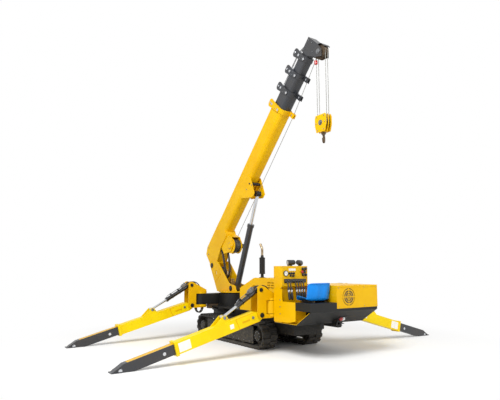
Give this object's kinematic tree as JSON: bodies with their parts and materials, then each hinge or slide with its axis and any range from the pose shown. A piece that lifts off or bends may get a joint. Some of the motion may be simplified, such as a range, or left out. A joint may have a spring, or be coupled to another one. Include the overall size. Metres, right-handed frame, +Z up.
{
  "type": "mini crawler crane",
  "caption": "compact tracked crane with a telescopic boom on a slewing column, hook block, fold-out outriggers with feet, operator console, seat and engine box",
  "frame": {"origin": "on the ground under the middle of the machine's outline, with the boom over the rear and the outriggers out", "axes": "+X forward, +Y to the machine's left, +Z up"},
  "size_m": [4.3446, 6.726, 5.5687],
  "materials": {
    "yellow_paint": "glossy",
    "lemon_paint": "glossy",
    "black_paint": "satin",
    "dark_steel": "satin",
    "rod_chrome": "polished",
    "track_rubber": "matt",
    "blue_seat": "satin",
    "cast_iron": "rough",
    "rope_steel": "drawn"
  },
  "bodies": {
    "chassis": {"chassis_frame": "black_paint", "slew_ring": "black_paint", "track_left": "track_rubber", "track_right": "track_rubber", "track_frame_left": "black_paint", "track_frame_right": "black_paint", "rear_tub": "black_paint", "platform": "black_paint", "side_panel_left": "yellow_paint", "side_panel_right": "yellow_paint", "engine_box": "yellow_paint", "console": "yellow_paint", "control_levers": "black_paint", "seat": "blue_seat", "hood": "yellow_paint", "engine_block": "cast_iron", "exhaust": "black_paint", "tail_pipe": "rod_chrome", "tow_hitch": "black_paint", "rear_beam": "yellow_paint", "foot_floor": "yellow_paint"},
    "column": {"column": "yellow_paint"},
    "luff_barrel": {"luff_barrel": "dark_steel"},
    "luff_rod": {"luff_rod": "rod_chrome"},
    "boom": {"boom_base": "yellow_paint"},
    "drum": {"winch_drum": "yellow_paint"},
    "boom_2": {"boom_section_2": "dark_steel"},
    "boom_3": {"boom_section_3": "dark_steel"},
    "boom_4": {"boom_section_4": "dark_steel"},
    "boom_5": {"boom_section_5": "dark_steel"},
    "sheaves": {"head_sheaves": "cast_iron"},
    "falls": {"hoist_falls": "rope_steel"},
    "block": {"hook_block": "yellow_paint"},
    "hook": {"hook": "cast_iron"},
    "bracket_front_left": {"bracket_front_left": "yellow_paint"},
    "arm_front_left": {"arm_front_left": "lemon_paint"},
    "extension_front_left": {"extension_front_left": "dark_steel"},
    "leg_barrel_front_left": {"leg_barrel_front_left": "black_paint"},
    "leg_rod_front_left": {"leg_rod_front_left": "rod_chrome"},
    "bracket_front_right": {"bracket_front_right": "yellow_paint"},
    "arm_front_right": {"arm_front_right": "lemon_paint"},
    "extension_front_right": {"extension_front_right": "dark_steel"},
    "leg_barrel_front_right": {"leg_barrel_front_right": "black_paint"},
    "leg_rod_front_right": {"leg_rod_front_right": "rod_chrome"},
    "bracket_rear_left": {"bracket_rear_left": "yellow_paint"},
    "arm_rear_left": {"arm_rear_left": "lemon_paint"},
    "extension_rear_left": {"extension_rear_left": "dark_steel"},
    "leg_barrel_rear_left": {"leg_barrel_rear_left": "black_paint"},
    "leg_rod_rear_left": {"leg_rod_rear_left": "rod_chrome"},
    "bracket_rear_right": {"bracket_rear_right": "yellow_paint"},
    "arm_rear_right": {"arm_rear_right": "lemon_paint"},
    "extension_rear_right": {"extension_rear_right": "dark_steel"},
    "leg_barrel_rear_right": {"leg_barrel_rear_right": "black_paint"},
    "leg_rod_rear_right": {"leg_rod_rear_right": "rod_chrome"}
  },
  "joints": [
    {"name": "slew", "type": "hinge", "parent": "chassis", "child": "column", "pos_m": [1.135, 0, 0.9], "axis": [0, 0, 1], "continuous": true},
    {"name": "luff", "type": "hinge", "parent": "column", "child": "boom", "pos_m": [1.839, 0, 1.453], "axis": [0, 1, 0], "range_deg": [-36, 32]},
    {"name": "luff_barrel_turn", "type": "hinge", "parent": "column", "child": "luff_barrel", "pos_m": [1.023, 0, 0.972], "axis": [0, 1, 0], "range_deg": [-34.66, 30.87]},
    {"name": "luff_rod_slide", "type": "slide", "parent": "luff_barrel", "child": "luff_rod", "axis": [-0.3742, 0, 0.9273], "range_m": [-0.5689, 0.5063]},
    {"name": "drum_turn", "type": "hinge", "parent": "boom", "child": "drum", "pos_m": [1.13342, 0, 1.87092], "axis": [0, 1, 0], "continuous": true},
    {"name": "extend_boom_2", "type": "slide", "parent": "boom", "child": "boom_2", "axis": [-0.6921, 0, 0.7218], "range_m": [0, 2.1]},
    {"name": "extend_boom_3", "type": "slide", "parent": "boom_2", "child": "boom_3", "axis": [-0.6921, 0, 0.7218], "range_m": [0, 2.1]},
    {"name": "extend_boom_4", "type": "slide", "parent": "boom_3", "child": "boom_4", "axis": [-0.6921, 0, 0.7218], "range_m": [0, 2.1]},
    {"name": "extend_boom_5", "type": "slide", "parent": "boom_4", "child": "boom_5", "axis": [-0.6921, 0, 0.7218], "range_m": [0, 2.1]},
    {"name": "sheave_turn", "type": "hinge", "parent": "boom_5", "child": "sheaves", "pos_m": [-1.75881, 0, 5.16864], "axis": [0, 1, 0], "continuous": true},
    {"name": "rope_hang", "type": "hinge", "parent": "boom_5", "child": "falls", "pos_m": [-1.75881, 0, 5.16864], "axis": [0, 1, 0], "range_deg": [-32.5, 36.5]},
    {"name": "hoist", "type": "slide", "parent": "falls", "child": "block", "axis": [0, 0, -1], "range_m": [-0.7, 2.2], "deforming": ["hoist_falls"]},
    {"name": "hook_turn", "type": "hinge", "parent": "block", "child": "hook", "pos_m": [-1.75881, 0, 3.69864], "axis": [0, 0, 1], "continuous": true},
    {"name": "swing_front_left", "type": "hinge", "parent": "chassis", "child": "bracket_front_left", "pos_m": [1.354, 0.7, 0.76], "axis": [0, 0, -1], "range_deg": [-25, 45]},
    {"name": "lift_front_left", "type": "hinge", "parent": "bracket_front_left", "child": "arm_front_left", "pos_m": [1.354, 0.936, 0.641], "axis": [1, 0, 0], "range_deg": [-11, 44]},
    {"name": "extend_front_left", "type": "slide", "parent": "arm_front_left", "child": "extension_front_left", "axis": [0, 0.9659, -0.2588], "range_m": [-0.64, 0.3]},
    {"name": "barrel_turn_front_left", "type": "hinge", "parent": "bracket_front_left", "child": "leg_barrel_front_left", "pos_m": [1.354, 0.955, 1.045], "axis": [1, 0, 0], "range_deg": [-10.5, 40.5]},
    {"name": "rod_slide_front_left", "type": "slide", "parent": "leg_barrel_front_left", "child": "leg_rod_front_left", "axis": [0, 0.8762, -0.4819], "range_m": [-0.2999, 0.0787]},
    {"name": "swing_front_right", "type": "hinge", "parent": "chassis", "child": "bracket_front_right", "pos_m": [1.354, -0.7, 0.76], "axis": [0, 0, 1], "range_deg": [-25, 45]},
    {"name": "lift_front_right", "type": "hinge", "parent": "bracket_front_right", "child": "arm_front_right", "pos_m": [1.354, -0.936, 0.641], "axis": [-1, 0, 0], "range_deg": [-11, 44]},
    {"name": "extend_front_right", "type": "slide", "parent": "arm_front_right", "child": "extension_front_right", "axis": [0, -0.9659, -0.2588], "range_m": [-0.64, 0.3]},
    {"name": "barrel_turn_front_right", "type": "hinge", "parent": "bracket_front_right", "child": "leg_barrel_front_right", "pos_m": [1.354, -0.955, 1.045], "axis": [-1, 0, 0], "range_deg": [-10.5, 40.5]},
    {"name": "rod_slide_front_right", "type": "slide", "parent": "leg_barrel_front_right", "child": "leg_rod_front_right", "axis": [0, -0.8762, -0.4819], "range_m": [-0.2999, 0.0787]},
    {"name": "swing_rear_left", "type": "hinge", "parent": "chassis", "child": "bracket_rear_left", "pos_m": [-1.128, 0.7, 0.76], "axis": [0, 0, 1], "range_deg": [-25, 30]},
    {"name": "lift_rear_left", "type": "hinge", "parent": "bracket_rear_left", "child": "arm_rear_left", "pos_m": [-1.128, 0.936, 0.641], "axis": [1, 0, 0], "range_deg": [-11, 36]},
    {"name": "extend_rear_left", "type": "slide", "parent": "arm_rear_left", "child": "extension_rear_left", "axis": [0, 0.9659, -0.2588], "range_m": [-0.64, 0.3]},
    {"name": "barrel_turn_rear_left", "type": "hinge", "parent": "bracket_rear_left", "child": "leg_barrel_rear_left", "pos_m": [-1.128, 0.955, 1.045], "axis": [1, 0, 0], "range_deg": [-9.47, 29.86]},
    {"name": "rod_slide_rear_left", "type": "slide", "parent": "leg_barrel_rear_left", "child": "leg_rod_rear_left", "axis": [0, 0.85, -0.5268], "range_m": [-0.2409, 0.0771]},
    {"name": "swing_rear_right", "type": "hinge", "parent": "chassis", "child": "bracket_rear_right", "pos_m": [-1.128, -0.7, 0.76], "axis": [0, 0, -1], "range_deg": [-25, 30]},
    {"name": "lift_rear_right", "type": "hinge", "parent": "bracket_rear_right", "child": "arm_rear_right", "pos_m": [-1.128, -0.936, 0.641], "axis": [-1, 0, 0], "range_deg": [-11, 36]},
    {"name": "extend_rear_right", "type": "slide", "parent": "arm_rear_right", "child": "extension_rear_right", "axis": [0, -0.9659, -0.2588], "range_m": [-0.64, 0.3]},
    {"name": "barrel_turn_rear_right", "type": "hinge", "parent": "bracket_rear_right", "child": "leg_barrel_rear_right", "pos_m": [-1.128, -0.955, 1.045], "axis": [-1, 0, 0], "range_deg": [-9.47, 29.86]},
    {"name": "rod_slide_rear_right", "type": "slide", "parent": "leg_barrel_rear_right", "child": "leg_rod_rear_right", "axis": [0, -0.85, -0.5268], "range_m": [-0.2409, 0.0771]}
  ],
  "couplings": [
    {"joint": "luff_barrel_turn", "follows": "luff", "ratio": 0.949},
    {"joint": "luff_rod_slide", "follows": "luff", "m_per_rad": 0.8975},
    {"joint": "extend_boom_3", "follows": "extend_boom_2", "ratio": 1},
    {"joint": "extend_boom_4", "follows": "extend_boom_2", "ratio": 1},
    {"joint": "extend_boom_5", "follows": "extend_boom_2", "ratio": 1},
    {"joint": "rope_hang", "follows": "luff", "ratio": -1},
    {"joint": "barrel_turn_front_left", "follows": "lift_front_left", "ratio": 0.909},
    {"joint": "rod_slide_front_left", "follows": "lift_front_left", "m_per_rad": -0.384},
    {"joint": "barrel_turn_front_right", "follows": "lift_front_right", "ratio": 0.909},
    {"joint": "rod_slide_front_right", "follows": "lift_front_right", "m_per_rad": -0.384},
    {"joint": "barrel_turn_rear_left", "follows": "lift_rear_left", "ratio": 0.8155},
    {"joint": "rod_slide_rear_left", "follows": "lift_rear_left", "m_per_rad": -0.3755},
    {"joint": "barrel_turn_rear_right", "follows": "lift_rear_right", "ratio": 0.8155},
    {"joint": "rod_slide_rear_right", "follows": "lift_rear_right", "m_per_rad": -0.3755}
  ]
}
